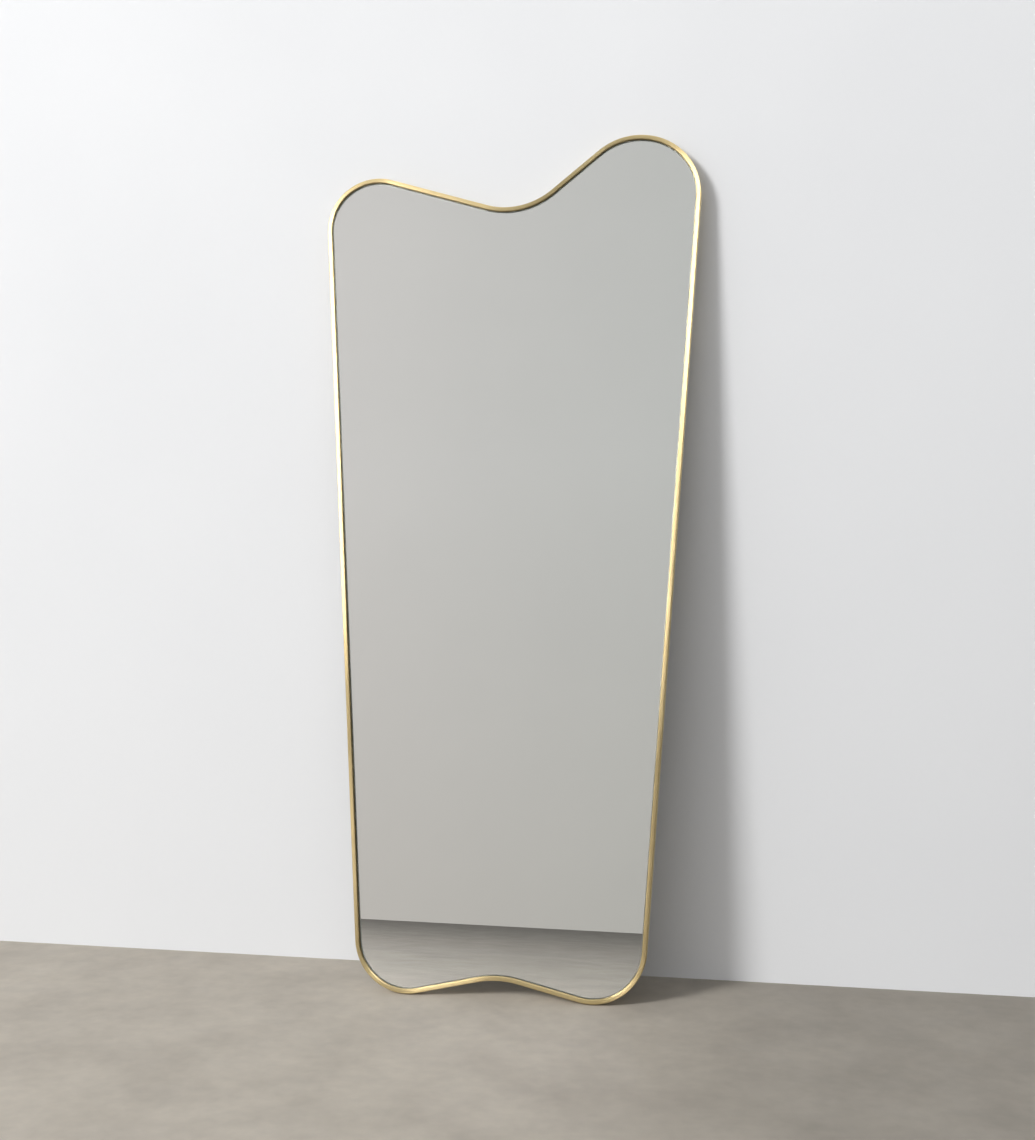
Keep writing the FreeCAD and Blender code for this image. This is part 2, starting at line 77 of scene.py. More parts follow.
# %% [markdown]
# ## The lean
# The mirror stands on its rim and leans back on the wall. Every piece of it is easiest to draw
# upright, with x to the right, y to the back and z up, and then to turn as one. The bumpers on the
# back point squarely out of the rim, so the direction in their record gives the angle of the lean.

# %% Work out the lean and the heel
back = Vector(mounts["wall_bumper_top_left"]["axis"])
lean = math.atan2(-back.z, back.y)
# the rim stands on the line where the bevel of its rear edge starts, this far behind its face
HEEL = 0.0235
LEANING = Matrix.Translation((0, -HEEL * math.cos(lean), HEEL * math.sin(lean)))
LEANING = LEANING @ Matrix.Rotation(-lean, 4, "X")
print("lean in degrees:", round(math.degrees(lean), 3))

# %% [markdown]
# ## The wavy outline
# The rim, the glass and the panel all follow one outline: two lobes on top with a dip between
# them, and two lobes at the bottom with a low arch between them, joined by straight runs that
# touch each circle. It could be traced as a free curve, but the real tube is bent round formers, so
# circles and runs are truer. Each turn has a centre and a radius, and a hollow turn has a negative
# radius. Then one formula gives the direction of the run between any two turns, and an outline
# further in is the same drawing with every radius less by the same amount.

# %% Draw the outline at any distance inside the rim
HEIGHT = 1.930
DIP_X, DIP_DEPTH, DIP_RADIUS = -0.014, 0.155, 0.162
LEFT_DROP, LEFT_RADIUS, LEFT_SLOPE = 0.070, 0.117, math.radians(17.4)
RIGHT_RADIUS, RIGHT_SLOPE = 0.143, math.radians(39.1)
LOBE_X, LOBE_RADIUS = 0.204, 0.119
ARCH_HEIGHT, ARCH_RADIUS = 0.038, 0.205
STEP = math.radians(1.5)


def reach(radius, climb, slope):
    # how far a top lobe lies from the dip, when the run between them has this slope
    both = radius + DIP_RADIUS
    return (both - (both - climb) * math.cos(slope)) / math.sin(slope)


left_x = DIP_X - reach(LEFT_RADIUS, DIP_DEPTH - LEFT_DROP, LEFT_SLOPE)
right_x = DIP_X + reach(RIGHT_RADIUS, DIP_DEPTH, RIGHT_SLOPE)
TURNS = [
    (Vector((0, ARCH_HEIGHT - ARCH_RADIUS)), -ARCH_RADIUS),
    (Vector((LOBE_X, LOBE_RADIUS)), LOBE_RADIUS),
    (Vector((right_x, HEIGHT - RIGHT_RADIUS)), RIGHT_RADIUS),
    (Vector((DIP_X, HEIGHT - DIP_DEPTH + DIP_RADIUS)), -DIP_RADIUS),
    (Vector((left_x, HEIGHT - LEFT_DROP - LEFT_RADIUS)), LEFT_RADIUS),
    (Vector((-LOBE_X, LOBE_RADIUS)), LOBE_RADIUS),
]


def heading(i):
    # direction of the straight run that leaves turn i
    centre, radius = TURNS[i]
    next_centre, next_radius = TURNS[(i + 1) % len(TURNS)]
    across = next_centre - centre
    return math.atan2(across.y, across.x) - math.asin((next_radius - radius) / across.length)


def station(i, angle, inset):
    # point of turn i where the outline has this heading
    centre, radius = TURNS[i]
    return centre - (radius - inset) * Vector((-math.sin(angle), math.cos(angle)))


def outline(inset):
    # the whole outline, anticlockwise from the front
    points = []
    for i, (_, radius) in enumerate(TURNS):
        start = heading(i - 1)
        bend = (heading(i) - start) % (2 * math.pi)
        if radius < 0:
            bend -= 2 * math.pi
        steps = math.ceil(abs(bend) / STEP)
        points += [station(i, start + bend * k / steps, inset) for k in range(steps + 1)]
    return points


print("outline stations:", len(outline(0)))

# %% [markdown]
# ## Helpers for nodes
# Shader trees and geometry trees are built the same way: a node, its settings, and what feeds each
# input. One helper does that, so a tree reads like a list. The second starts a tree with named
# inputs. Every geometry tree ends alike, with its instances made real and its finish set, so the
# third does that. The next runs a tree on a source drawing and keeps the result as a plain mesh,
# because the exported model has no use for a live modifier or for instances.

# %% Helpers: add a node, start and end a tree, bake a tree
GEOMETRY = ("Geometry", "NodeSocketGeometry")
FINISH = ("Finish", "NodeSocketMaterial")


def add_node(tree, kind, feeds=None, **settings):
    node = tree.nodes.new(kind)
    for name, value in settings.items():
        setattr(node, name, value)
    for socket, source in (feeds or {}).items():
        if isinstance(source, bpy.types.NodeSocket):
            tree.links.new(source, node.inputs[socket])
        else:
            node.inputs[socket].default_value = source
    return node


def new_tree(name, kind, inputs, outputs):
    tree = bpy.data.node_groups.new(name, kind)
    for socket, socket_type in inputs:
        tree.interface.new_socket(socket, in_out="INPUT", socket_type=socket_type)
    for socket, socket_type in outputs:
        tree.interface.new_socket(socket, in_out="OUTPUT", socket_type=socket_type)
    given = tree.nodes.new("NodeGroupInput").outputs
    result = tree.nodes.new("NodeGroupOutput").inputs
    return tree, given, result


def end_tree(tree, geometry, given, result):
    real = add_node(tree, "GeometryNodeRealizeInstances", {"Geometry": geometry})
    painted = add_node(tree, "GeometryNodeSetMaterial",
                       {"Geometry": real.outputs["Geometry"], "Material": given["Finish"]})
    tree.links.new(painted.outputs["Geometry"], result["Geometry"])
    return tree


def bake(name, drawing, tree, sizes):
    source = bpy.data.objects.new(name + "_drawing", drawing)
    bpy.context.scene.collection.objects.link(source)
    modifier = source.modifiers.new(name, "NODES")
    modifier.node_group = tree
    for item in tree.interface.items_tree:
        if item.in_out == "INPUT" and item.name in sizes:
            modifier[item.identifier] = sizes[item.name]
    depsgraph = bpy.context.evaluated_depsgraph_get()
    mesh = bpy.data.meshes.new_from_object(source.evaluated_get(depsgraph), depsgraph=depsgraph)
    bpy.data.objects.remove(source)
    return show(name, mesh)


def show(name, mesh):
    mesh.name = name
    piece = bpy.data.objects.new(name, mesh)
    bpy.context.scene.collection.objects.link(piece)
    print(name, "faces:", len(mesh.polygons))
    return piece


# %% [markdown]
# ## Mottle and brushing
# Hardly any real surface has one even tone. Two effects are shared here. Mottle is a soft cloudy
# change, as in paint, plating or board. Brushing is the fine scratches that an abrasive belt
# leaves: the same kind of noise, stretched along the stroke. Images could do both, but noise has no
# seams and no limit of sharpness. Each is a group with named inputs, set afresh in each finish.

# %% Shader groups for mottle and brushing
FLOAT = "NodeSocketFloat"
VECTOR = "NodeSocketVector"
NOISE_LOW, NOISE_HIGH = 0.3, 0.7


def ramp(tree, value, start, end, first=0.0, last=1.0, **settings):
    # goes from first to last while the value goes from start to end
    feeds = {"Value": value, "From Min": start, "From Max": end, "To Min": first, "To Max": last}
    return add_node(tree, "ShaderNodeMapRange", feeds, **settings).outputs["Result"]


def make_mottle():
    inputs = [("Vector", VECTOR), ("Scale", FLOAT), ("Low", FLOAT), ("High", FLOAT)]
    tree, given, result = new_tree("soft_mottle", "ShaderNodeTree", inputs, [("Value", FLOAT)])
    cloud = add_node(tree, "ShaderNodeTexNoise",
                     {"Vector": given["Vector"], "Scale": given["Scale"], "Detail": 4.0})
    spread = ramp(tree, cloud.outputs["Fac"], NOISE_LOW, NOISE_HIGH, given["Low"], given["High"])
    tree.links.new(spread, result["Value"])
    return tree


def make_brushing():
    inputs = [("Vector", VECTOR), ("Stretch", VECTOR), ("Low", FLOAT), ("High", FLOAT)]
    outputs = [("Value", FLOAT), ("Height", FLOAT)]
    tree, given, result = new_tree("belt_brushing", "ShaderNodeTree", inputs, outputs)
    drawn = add_node(tree, "ShaderNodeVectorMath",
                     {0: given["Vector"], 1: given["Stretch"]}, operation="MULTIPLY")
    streaks = add_node(tree, "ShaderNodeTexNoise",
                       {"Vector": drawn.outputs["Vector"], "Scale": 1.0, "Detail": 3.0})
    spread = ramp(tree, streaks.outputs["Fac"], NOISE_LOW, NOISE_HIGH, given["Low"], given["High"])
    tree.links.new(spread, result["Value"])
    tree.links.new(streaks.outputs["Fac"], result["Height"])
    return tree


MOTTLE = make_mottle()
BRUSHING = make_brushing()
print("shader groups:", MOTTLE.name, BRUSHING.name)

# %% [markdown]
# ## A start for every finish
# Each finish has two tones that mottle mixes, and most have a roughness that drifts too. One helper
# sets those up on a Principled shader, others add a fine bump, and each finish adds what is its own.
# A value that is the same all over the surface is set on the shader's socket itself.

# %% Helpers: a two-toned finish and its bump
SHEEN_FINER = 2.3


def group_node(tree, group, **feeds):
    return add_node(tree, "ShaderNodeGroup", feeds, node_tree=group).outputs


def mottle(tree, spot, scale, low=0.0, high=1.0):
    return group_node(tree, MOTTLE, Vector=spot["Object"], Scale=scale, Low=low, High=high)["Value"]


def mix_colours(tree, factor, first, second, **settings):
    # a Mix node gives plain numbers and colours the same names, so its sockets go by their places
    feeds = {0: factor, 6: first, 7: second}
    return add_node(tree, "ShaderNodeMix", feeds, data_type="RGBA", **settings).outputs[2]


def finish(name, light, deep, mottle_scale, roughness=None, metallic=0.0):
    material = bpy.data.materials.new(name)
    material.use_nodes = True
    tree = material.node_tree
    shader = tree.nodes["Principled BSDF"]
    spot = tree.nodes.new("ShaderNodeTexCoord").outputs
    tone = mix_colours(tree, mottle(tree, spot, mottle_scale), (*light, 1), (*deep, 1))
    tree.links.new(tone, shader.inputs["Base Color"])
    if roughness:
        sheen = mottle(tree, spot, mottle_scale * SHEEN_FINER, *roughness)
        tree.links.new(sheen, shader.inputs["Roughness"])
    shader.inputs["Metallic"].default_value = metallic
    return material, tree, shader, spot


def add_bump(tree, shader, height, strength, distance):
    bump = add_node(tree, "ShaderNodeBump",
                    {"Strength": strength, "Distance": distance, "Height": height})
    tree.links.new(bump.outputs["Normal"], shader.inputs["Normal"])


def add_grit(tree, shader, spot, scale, strength, distance):
    add_bump(tree, shader, mottle(tree, spot, scale), strength, distance)


# %% [markdown]
# ## Satin brass
# The rim is steel tube with a brass finish, brushed along its length and left satin. A belt that
# runs along the tube leaves fine lines that spread each highlight across them, so the upper sides
# of the rim glow white and the level parts stay yellow. The lines follow the tube round every bend,
# so they read a UV map that holds the distance along the rim and around its section, in metres.

# %% Brushed brass along the rim
def satin_brass():
    material, tree, shader, spot = finish(
        "satin_brass", (0.69, 0.56, 0.305), (0.64, 0.51, 0.265), mottle_scale=7.0, metallic=1.0)
    lines = group_node(tree, BRUSHING, Vector=spot["UV"], Stretch=(14.0, 3600.0, 0.0),
                       Low=0.30, High=0.38)
    tree.links.new(lines["Value"], shader.inputs["Roughness"])
    add_bump(tree, shader, lines["Height"], strength=0.06, distance=0.0001)
    tangent = add_node(tree, "ShaderNodeTangent", direction_type="UV_MAP", uv_map="UVMap")
    tree.links.new(tangent.outputs["Tangent"], shader.inputs["Tangent"])
    shader.inputs["Anisotropic"].default_value = 0.95
    shader.inputs["Anisotropic Rotation"].default_value = 0.25
    return material


BRASS = satin_brass()
print("finish:", BRASS.name)

# %% [markdown]
# ## Glass, ground edge and silver
# A mirror is a sheet of clear glass with a film of silver behind it. A single shiny plane would
# reflect just as sharply, but would lose the faint green of the glass, the doubled line at the edge
# and the depth between the front and the silver. So the glass is a solid of its own, its cut edge
# is ground matt, and the silver is a metal layer behind it. The ground edge is near-black green:
# partly the edge's own colour, partly painted shade for the shaded inner wall of the rim beside it,
# so it looks dark beside the bright sheet.

# %% Clear glass, its ground edge and the silver
GLASS_IOR = 1.52


def clear_glass():
    material, _, shader, _ = finish(
        "clear_glass", (0.985, 0.991, 0.987), (0.990, 0.995, 0.992), mottle_scale=1.5,
        roughness=(0.0, 0.004))
    shader.inputs["Transmission Weight"].default_value = 1.0
    shader.inputs["IOR"].default_value = GLASS_IOR
    return material


def ground_edge_and_shade():
    # painted shade: the near-black tones stand partly for the shaded inner wall of the rim beside the edge
    material, tree, shader, spot = finish(
        "ground_edge_and_shade", (0.09, 0.10, 0.07), (0.13, 0.14, 0.10), mottle_scale=60.0,
        roughness=(0.4, 0.6))
    shader.inputs["Transmission Weight"].default_value = 1.0
    shader.inputs["IOR"].default_value = GLASS_IOR
    add_grit(tree, shader, spot, scale=2400.0, strength=0.3, distance=0.0002)
    return material


def mirror_silver():
    material, *_ = finish(
        "mirror_silver", (0.87, 0.872, 0.868), (0.89, 0.892, 0.888), mottle_scale=2.0,
        roughness=(0.002, 0.006), metallic=1.0)
    return material


GLASS = clear_glass()
GROUND = ground_edge_and_shade()
SILVER = mirror_silver()
print("finishes:", GLASS.name, GROUND.name, SILVER.name)

# %% [markdown]
# ## Finishes of the back
# Nobody sees the back often, but each piece there has its own finish: black painted fibreboard with
# a faint fibre in it, foam tape with open cells, brass-coloured tabs that were welded before they
# were coated, zinc-plated straps with a cloudy spangle, bright nickel on the rings and screws,
# and matt black rubber. All start from mottle in their own tones and scale, and then get a bump of
# grit, grain, fibre or cells.

# %% Board, foam, steel and rubber
def black_fibreboard():
    material, tree, shader, spot = finish(
        "black_fibreboard", (0.021, 0.021, 0.022), (0.027, 0.027, 0.026), mottle_scale=14.0,
        roughness=(0.58, 0.70))
    fibre = group_node(tree, BRUSHING, Vector=spot["Object"], Stretch=(420.0, 420.0, 130.0),
                       Low=0.0, High=1.0)
    add_bump(tree, shader, fibre["Height"], strength=0.35, distance=0.0006)
    return material


def foam_tape():
    material, tree, shader, spot = finish(
        "foam_tape", (0.78, 0.78, 0.75), (0.66, 0.66, 0.63), mottle_scale=40.0,
        roughness=(0.75, 0.9))
    cells = add_node(tree, "ShaderNodeTexVoronoi", {"Vector": spot["Object"], "Scale": 1500.0})
    add_bump(tree, shader, cells.outputs["Distance"], strength=0.5, distance=0.0004)
    return material


def tab_steel():
    material, tree, shader, spot = finish(
        "tab_steel", (0.70, 0.55, 0.30), (0.58, 0.44, 0.23), mottle_scale=120.0,
        roughness=(0.32, 0.5), metallic=1.0)
    add_grit(tree, shader, spot, scale=1800.0, strength=0.15, distance=0.0002)
    return material


def zinc_steel():
    material, tree, shader, spot = finish(
        "zinc_steel", (0.74, 0.74, 0.725), (0.67, 0.675, 0.68), mottle_scale=160.0,
        roughness=(0.36, 0.42), metallic=1.0)
    grain = group_node(tree, BRUSHING, Vector=spot["Object"], Stretch=(2600.0, 2600.0, 120.0),
                       Low=0.0, High=1.0)
    add_bump(tree, shader, grain["Height"], strength=0.08, distance=0.0001)
    return material


def nickel_steel():
    material, tree, shader, spot = finish(
        "nickel_steel", (0.69, 0.66, 0.61), (0.62, 0.60, 0.56), mottle_scale=300.0,
        roughness=(0.14, 0.28), metallic=1.0)
    add_grit(tree, shader, spot, scale=2200.0, strength=0.06, distance=0.0001)
    return material


def black_rubber():
    material, tree, shader, spot = finish(
        "black_rubber", (0.018, 0.018, 0.018), (0.032, 0.031, 0.030), mottle_scale=500.0,
        roughness=(0.7, 0.88))
    add_grit(tree, shader, spot, scale=3000.0, strength=0.25, distance=0.0003)
    return material


BOARD = black_fibreboard()
FOAM = foam_tape()
TAB_STEEL = tab_steel()
ZINC = zinc_steel()
NICKEL = nickel_steel()
RUBBER = black_rubber()
print("finishes of the back:", len((BOARD, FOAM, TAB_STEEL, ZINC, NICKEL, RUBBER)))

# %% [markdown]
# ## The rim
# The rim is one closed loop of rectangular tube, 10 mm across its face and 25 mm deep, with softly
# rounded edges. It is a section that follows a path, so Geometry Nodes sweep it: the outline's
# middle line becomes a curve, a rectangle with filleted corners becomes the section, and
# Curve to Mesh joins them. The path is flat while it is swept, and the tree stands it up and
# leans it back. The loop starts in the middle of a straight run, and its last station is a hair
# before the first, so the UV map has its seam in that hair.

# %% Write the sweep as a tree
def stored(tree, geometry, name, value, data_type="FLOAT", domain="POINT"):
    feeds = {"Geometry": geometry, "Name": name, "Value": value}
    return add_node(tree, "GeometryNodeStoreNamedAttribute", feeds, data_type=data_type,
                    domain=domain).outputs["Geometry"]


def make_sweep():
    inputs = [GEOMETRY, ("Face Width", FLOAT), ("Depth", FLOAT), ("Edge Radius", FLOAT),
              ("Turn", "NodeSocketRotation"), ("Shift", VECTOR), FINISH]
    tree, given, result = new_tree("rim_sweep", "GeometryNodeTree", inputs, [GEOMETRY])
    path = add_node(tree, "GeometryNodeMeshToCurve", {"Mesh": given["Geometry"]})
    upright = add_node(tree, "GeometryNodeSetCurveNormal", {"Curve": path.outputs["Curve"]},
                       mode="Z_UP")
    walked = add_node(tree, "GeometryNodeSplineParameter")
    marked = stored(tree, upright.outputs["Curve"], "along", walked.outputs["Length"])
    square = add_node(tree, "GeometryNodeCurvePrimitiveQuadrilateral",
                      {"Width": given["Face Width"], "Height": given["Depth"]})
    rounded = add_node(tree, "GeometryNodeFilletCurve",
                       {"Curve": square.outputs["Curve"], "Count": 6,
                        "Radius": given["Edge Radius"]}, mode="POLY")
    girth = add_node(tree, "GeometryNodeSplineParameter")
    section = stored(tree, rounded.outputs["Curve"], "around", girth.outputs["Length"])
    tube = add_node(tree, "GeometryNodeCurveToMesh", {"Curve": marked, "Profile Curve": section})
    along = add_node(tree, "GeometryNodeInputNamedAttribute", {"Name": "along"})
    around = add_node(tree, "GeometryNodeInputNamedAttribute", {"Name": "around"})
    flat_map = add_node(tree, "ShaderNodeCombineXYZ",
                        {"X": along.outputs["Attribute"], "Y": around.outputs["Attribute"]})
    mapped = stored(tree, tube.outputs["Mesh"], "UVMap", flat_map.outputs["Vector"],
                    data_type="FLOAT2", domain="CORNER")
    smooth = add_node(tree, "GeometryNodeSetShadeSmooth", {"Geometry": mapped})
    stood = add_node(tree, "GeometryNodeTransform",
                     {"Geometry": smooth.outputs["Geometry"], "Translation": given["Shift"],
                      "Rotation": given["Turn"]})
    return end_tree(tree, stood.outputs["Geometry"], given, result)


rim_sweep = make_sweep()
print("tree:", rim_sweep.name, "nodes:", len(rim_sweep.nodes))

# %% Sweep the rim
FACE, DEPTH, EDGE_RADIUS = 0.010, 0.025, 0.002
SEAM = 0.0002


def loop_drawing(name, points):
    mesh = bpy.data.meshes.new(name)
    edges = [(i, (i + 1) % len(points)) for i in range(len(points))]
    mesh.from_pydata(points, edges, [])
    return mesh


middle = outline(FACE / 2)
start = (middle[-1] + middle[0]) / 2
before = start - (middle[0] - middle[-1]).normalized() * SEAM
rim_path = loop_drawing("rim_path", [(p.x, p.y, -DEPTH / 2) for p in [start] + middle + [before]])
rim = bake("brass_rim", rim_path, rim_sweep, {
    "Face Width": FACE, "Depth": DEPTH, "Edge Radius": EDGE_RADIUS,
    "Turn": (math.pi / 2 - lean, 0.0, 0.0), "Shift": LEANING.translation, "Finish": BRASS})

# %% [markdown]
# ## Vent holes
# A closed tube that is welded and plated needs a hole for hot air and plating liquid to leave by.
# The rim has two, drilled in the rear wall at the lowest places. They are cut with a Boolean, which
# is what a drill does, and its result replaces the mesh, so no modifier stays on the piece.

# %% Drill the vents
VENT_RADIUS, VENT_DEPTH, VENT_LEVEL = 0.002, 0.0045, 0.005
VENT_SIDES, DRILL_OVER = 24, 0.002
SAME_POINT = 1e-7


def lathe(profile, segments):
    # a closed solid from (radius, y) pairs, turned about the y axis
    drawing = bmesh.new()
    line = [drawing.verts.new((radius, y, 0)) for radius, y in profile]
    edges = [drawing.edges.new(pair) for pair in zip(line, line[1:])]
    bmesh.ops.spin(drawing, geom=line + edges, cent=(0, 0, 0), axis=(0, 1, 0),
                   angle=2 * math.pi, steps=segments)
    bmesh.ops.remove_doubles(drawing, verts=drawing.verts, dist=SAME_POINT)
    bmesh.ops.recalc_face_normals(drawing, faces=drawing.faces)
    return drawing


def settle(piece):
    # the result of the modifiers becomes the piece's own mesh
    depsgraph = bpy.context.evaluated_depsgraph_get()
    mesh = bpy.data.meshes.new_from_object(piece.evaluated_get(depsgraph), depsgraph=depsgraph)
    piece.modifiers.clear()
    piece.data = mesh


def cut(piece, tools):
    # subtracts the tool mesh for good
    cutter = bpy.data.objects.new("cutter", tools)
    bpy.context.scene.collection.objects.link(cutter)
    modifier = piece.modifiers.new("cut", "BOOLEAN")
    modifier.object = cutter
    modifier.operation = "DIFFERENCE"
    modifier.solver = "EXACT"
    settle(piece)
    bpy.data.objects.remove(cutter)


def mesh_from(drawing, name):
    mesh = bpy.data.meshes.new(name)
    drawing.to_mesh(mesh)
    drawing.free()
    return mesh


drills = bmesh.new()
for side in (-1, 1):
    bit = lathe([(0, DEPTH - VENT_DEPTH), (VENT_RADIUS, DEPTH - VENT_DEPTH),
                 (VENT_RADIUS, DEPTH + DRILL_OVER), (0, DEPTH + DRILL_OVER)], VENT_SIDES)
    bit.transform(LEANING @ Matrix.Translation((side * LOBE_X, 0, VENT_LEVEL)))
    drills.from_mesh(mesh_from(bit, "vent_bit"))
cut(rim, mesh_from(drills, "vent_bits"))
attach(rim, "mirror")
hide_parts("frame_rim")
print("rim faces after drilling:", len(rim.data.polygons))

# %% [markdown]
# ## Glass, silver and panel
# These three are flat plates cut to the same outline, each at its own distance from the rim. They
# could be cut from a curve with an extrusion, but a plate is only a few rings of points joined by
# bands, so mesh code is shorter and gives the narrow bevel that a ground edge has. A hair of air
# stays between the glass and the silver, because two faces in one place would flicker.

# %% Build the three plates
GLASS_FRONT, GLASS_REAR, GLASS_INSET, ARRIS = 0.0040, 0.0090, 0.0110, 0.0008
SILVER_REAR, SILVER_INSET, SILVER_EDGE = 0.0093, 0.0118, 0.00005
BOARD_FRONT, BOARD_REAR, BOARD_INSET, BOARD_EDGE = 0.0103, 0.0163, 0.0115, 0.0005
AIR = 0.00004


def plate(name, inset, front, rear, edge, materials):
    drawing = bmesh.new()
    rings = []
    for ring_inset, y in ((inset + edge, front), (inset, front + edge),
                          (inset, rear - edge), (inset + edge, rear)):
        rings.append([drawing.verts.new((p.x, y, p.y)) for p in outline(ring_inset)])
    drawing.faces.new(rings[0])
    drawing.faces.new(reversed(rings[-1]))
    for near, far in zip(rings, rings[1:]):
        for i in range(len(near)):
            band = drawing.faces.new((near[i - 1], far[i - 1], far[i], near[i]))
            band.material_index = len(materials) - 1
    bmesh.ops.remove_doubles(drawing, verts=drawing.verts, dist=SAME_POINT)
    bmesh.ops.recalc_face_normals(drawing, faces=drawing.faces)
    drawing.transform(LEANING)
    piece = show(name, mesh_from(drawing, name))
    for material in materials:
        piece.data.materials.append(material)
    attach(piece, "mirror")
    return piece


glass = plate("sheet_glass", GLASS_INSET, GLASS_FRONT, GLASS_REAR - AIR, ARRIS, [GLASS, GROUND])
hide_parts("mirror_glass")
silver = plate("silver_film", SILVER_INSET, GLASS_REAR, SILVER_REAR, SILVER_EDGE, [SILVER])
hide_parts("silver_backing")
board = plate("rear_board", BOARD_INSET, BOARD_FRONT, BOARD_REAR, BOARD_EDGE, [BOARD])
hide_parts("back_panel")

# %% [markdown]
# ## Foam tape
# Six strips of foam tape hold the glass to the panel. They are plain flat strips in between, so the
# CAD pieces stay as they are and only get the foam finish.

# %% Give the tape its finish
tapes = [node for name, node in nodes.items() if name.startswith("tape_strip_")]
for tape in tapes:
    tape.data.materials.clear()
    tape.data.materials.append(FOAM)
print("tape strips:", len(tapes))

# %% [markdown]
# ## Tabs and straps
# The tabs are tongues of strip steel, welded inside the rim and bent over the panel. The straps
# are strips rolled round the bar of a ring. Stamped steel never has a razor edge, so a copy of each
# CAD piece gets a narrow bevel: the copy is merged first, because it comes as loose triangles,
# and its flat faces are joined, so that the bevel only meets real edges. Weighted normals then
# let each large face keep its own direction, so that flat steel looks flat up to the bevel.

# %% Soften the stamped pieces
FLAT = math.radians(1.0)
SHARP = math.radians(40.0)
LOOSE_GAP = 2e-6
STAMPED_BEVEL = 0.00025
TAB_COUNT = 10


def softened(name, node_names, material):
    drawing = bmesh.new()
    for node_name in node_names:
        drawing.from_mesh(nodes[node_name].data)
    bmesh.ops.remove_doubles(drawing, verts=drawing.verts, dist=LOOSE_GAP)
    bmesh.ops.dissolve_limit(drawing, angle_limit=FLAT, verts=drawing.verts, edges=drawing.edges)
    sharp = [edge for edge in drawing.edges if edge.is_manifold and edge.calc_face_angle() > SHARP]
    bmesh.ops.bevel(drawing, geom=sharp, offset=STAMPED_BEVEL, offset_type="OFFSET", segments=2,
                    profile=0.5, affect="EDGES", clamp_overlap=True)
    for face in drawing.faces:
        face.smooth = True
        face.material_index = 0
    mesh = mesh_from(drawing, name)
    mesh.materials.clear()
    mesh.materials.append(material)
    piece = show(name, mesh)
    mesh.set_sharp_from_angle(angle=SHARP)
    piece.modifiers.new("flat_faces", "WEIGHTED_NORMAL").keep_sharp = True
    settle(piece)
    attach(piece, "mirror")
    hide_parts(*node_names)


tab_names = ["panel_tab_%d" % (i + 1) for i in range(TAB_COUNT)]
softened("bent_tabs", tab_names, TAB_STEEL)
for side in ("left", "right"):
    softened("rolled_strap_" + side, ["hanger_strap_" + side], ZINC)

# %% [markdown]
# ## Weld beads
# Each tab is held by two short welds along its foot. A weld bead is a row of small overlapping
# ripples, one for each pulse of the torch. Geometry Nodes lay them: every bead is a short line,
# points are spaced along it, and a drop of slightly random shape sits on each. There are over two
# hundred drops, each about two millimetres across, so each is a plain ball of forty faces.

# %% Lay the weld beads
TAB_PITCH, TAB_RISE = 0.560, 0.006
# the runs after these turns are the long sides, with three tabs each
LONG_SIDES = (1, 4)
BEAD_NEAR, BEAD_FAR = 0.0035, 0.0110
BEAD_INWARD, BEAD_ABOVE = 0.0006, 0.0003


def make_beads():
    inputs = [GEOMETRY, ("Pitch", FLOAT), ("Drop Radius", FLOAT), FINISH]
    tree, given, result = new_tree("weld_beads", "GeometryNodeTree", inputs, [GEOMETRY])
    lines = add_node(tree, "GeometryNodeMeshToCurve", {"Mesh": given["Geometry"]})
    spaced = add_node(tree, "GeometryNodeResampleCurve",
                      {"Curve": lines.outputs["Curve"], "Length": given["Pitch"]}, mode="LENGTH")
    drop = add_node(tree, "GeometryNodeMeshUVSphere",
                    {"Radius": given["Drop Radius"], "Segments": 8, "Rings": 5})
    smooth = add_node(tree, "GeometryNodeSetShadeSmooth", {"Geometry": drop.outputs["Mesh"]})
    size = add_node(tree, "FunctionNodeRandomValue",
                    {"Min": (0.8, 0.8, 0.8), "Max": (1.1, 1.1, 1.1), "Seed": 4},
                    data_type="FLOAT_VECTOR")
    placed = add_node(tree, "GeometryNodeInstanceOnPoints",
                      {"Points": spaced.outputs["Curve"], "Instance": smooth.outputs["Geometry"],
                       "Scale": size.outputs["Value"]})
    return end_tree(tree, placed.outputs["Instances"], given, result)


def bead_lines():
    points = []
    for i in range(len(TURNS)):
        angle = heading(i)
        along = Vector((math.cos(angle), math.sin(angle)))
        inward = Vector((-along.y, along.x))
        run = (station(i, angle, FACE) + station((i + 1) % len(TURNS), angle, FACE)) / 2
        for step in (-1, 0, 1) if i in LONG_SIDES else (0,):
            foot = run + along * step * TAB_PITCH + inward * BEAD_INWARD
            for near, far in ((-BEAD_FAR, -BEAD_NEAR), (BEAD_NEAR, BEAD_FAR)):
                for end in (near, far):
                    p = foot + along * end
                    points.append(LEANING @ Vector((p.x, BOARD_REAR + TAB_RISE + BEAD_ABOVE, p.y)))
    mesh = bpy.data.meshes.new("bead_lines")
    mesh.from_pydata(points, [(k, k + 1) for k in range(0, len(points), 2)], [])
    return mesh


beads = bake("weld_beads", bead_lines(), make_beads(),
             {"Pitch": 0.0007, "Drop Radius": 0.0010, "Finish": TAB_STEEL})
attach(beads, "mirror")

# %% [markdown]
# ## Rings
# Each hanger has a loose ring of round nickel-plated wire: a straight bar in the rolled eye, two
# short legs and a round bow. It is a round section along a closed path, so it is swept too. The CAD
# ring has twelve flat sides to stay light, and this one is round. Each ring turns by itself, so it
# is a piece of its own on its own body.

# %% Sweep the rings
WIRE_RADIUS, RING_HALF, RING_CORNER, RING_LEG = 0.00175, 0.012, 0.004, 0.005
CORNER_STEPS, BOW_STEPS = 8, 36


